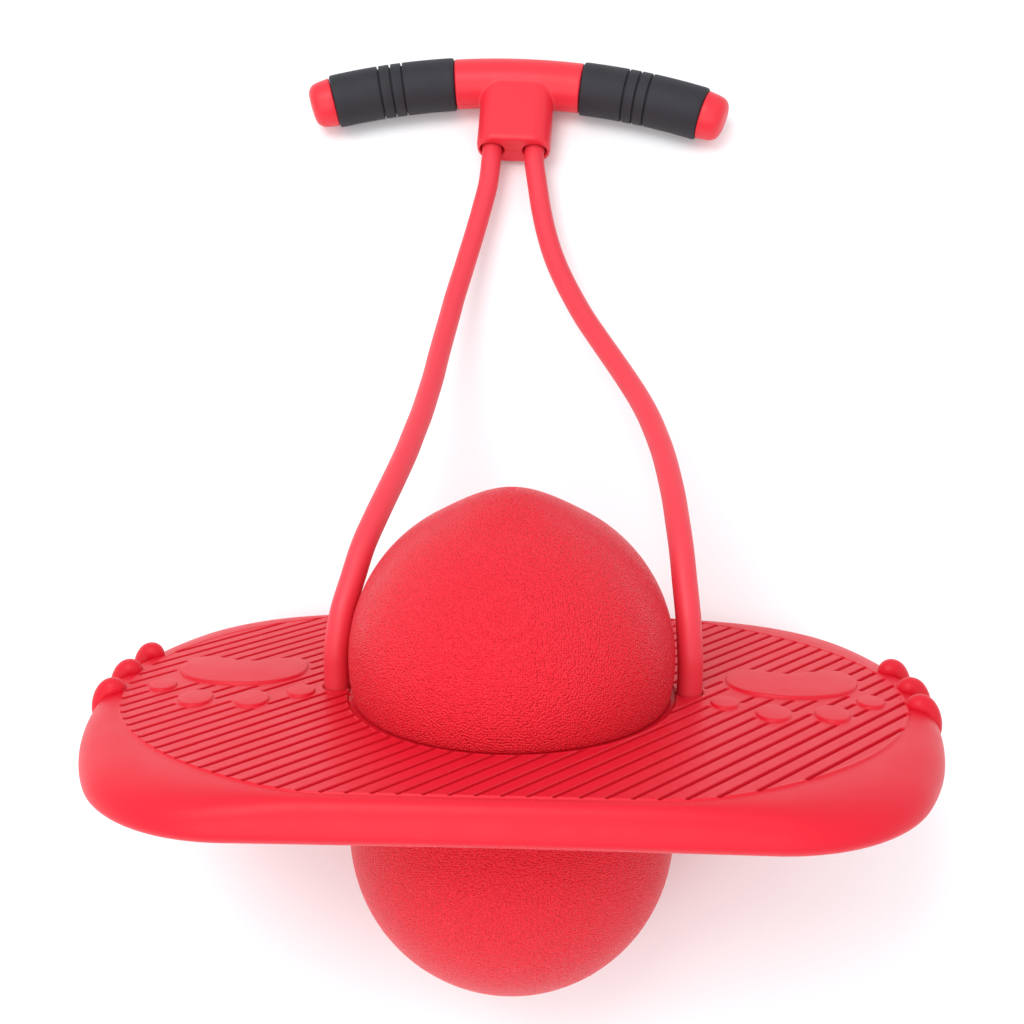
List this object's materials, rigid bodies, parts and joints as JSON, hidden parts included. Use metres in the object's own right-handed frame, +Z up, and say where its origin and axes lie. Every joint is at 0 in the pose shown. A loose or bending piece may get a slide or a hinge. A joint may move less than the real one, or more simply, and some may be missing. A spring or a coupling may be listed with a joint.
{
  "type": "jump ball board with rope handle",
  "caption": "Oblong jump board with an air ball through its middle and a T-shaped handle on stiff rubber ropes, lying back on its rear edge.",
  "frame": {"origin": "bottom centre of the bounding box: the part lies back on its rear edge, the ball's lower lobe and the handle", "axes": "+X along the board's length, +Y from the board to the handle, +Z up"},
  "size_m": [0.5264, 0.7427, 0.2881],
  "materials": {
    "board_plastic": "satin blow-moulded polyethylene",
    "ball_pvc": "pebble-grained soft PVC",
    "plug_plastic": "smooth",
    "rope_rubber": "smooth satin rubber",
    "washer_plastic": "natural nylon",
    "handle_plastic": "fine satin moulding",
    "grip_rubber": "matte",
    "screw_steel": "zinc plated"
  },
  "bodies": {
    "board": {"board": "board_plastic", "ball": "ball_pvc", "valve_seat": "ball_pvc", "rope_foot_left": "rope_rubber", "rope_foot_right": "rope_rubber", "rope_washer_left": "washer_plastic", "rope_washer_right": "washer_plastic", "rope_knob_left": "rope_rubber", "rope_knob_right": "rope_rubber"},
    "valve_plug": {"valve_plug": "plug_plastic"},
    "ropes": {"rope_left": "rope_rubber", "rope_right": "rope_rubber"},
    "handle": {"handle_front_shell": "handle_plastic", "handle_rear_shell": "handle_plastic", "grip_left": "grip_rubber", "grip_right": "grip_rubber", "end_cap_left": "handle_plastic", "end_cap_right": "handle_plastic", "rope_head_left": "rope_rubber", "rope_head_right": "rope_rubber", "handle_screw_1": "screw_steel", "handle_screw_2": "screw_steel", "handle_screw_3": "screw_steel", "handle_screw_4": "screw_steel"}
  },
  "joints": [
    {"name": "rope_swing", "type": "hinge", "parent": "board", "child": "ropes", "pos_m": [0, -0.1814, 0.1549], "axis": [1, 0, 0], "range_deg": [0, 75]},
    {"name": "handle_tilt", "type": "hinge", "parent": "ropes", "child": "handle", "pos_m": [-0.0186, 0.2763, 0.0214], "axis": [1, 0, 0], "range_deg": [-25, 25]},
    {"name": "plug_pull", "type": "slide", "parent": "board", "child": "valve_plug", "axis": [0, 0.8396, 0.5432], "range_m": [0, 0.012]}
  ]
}
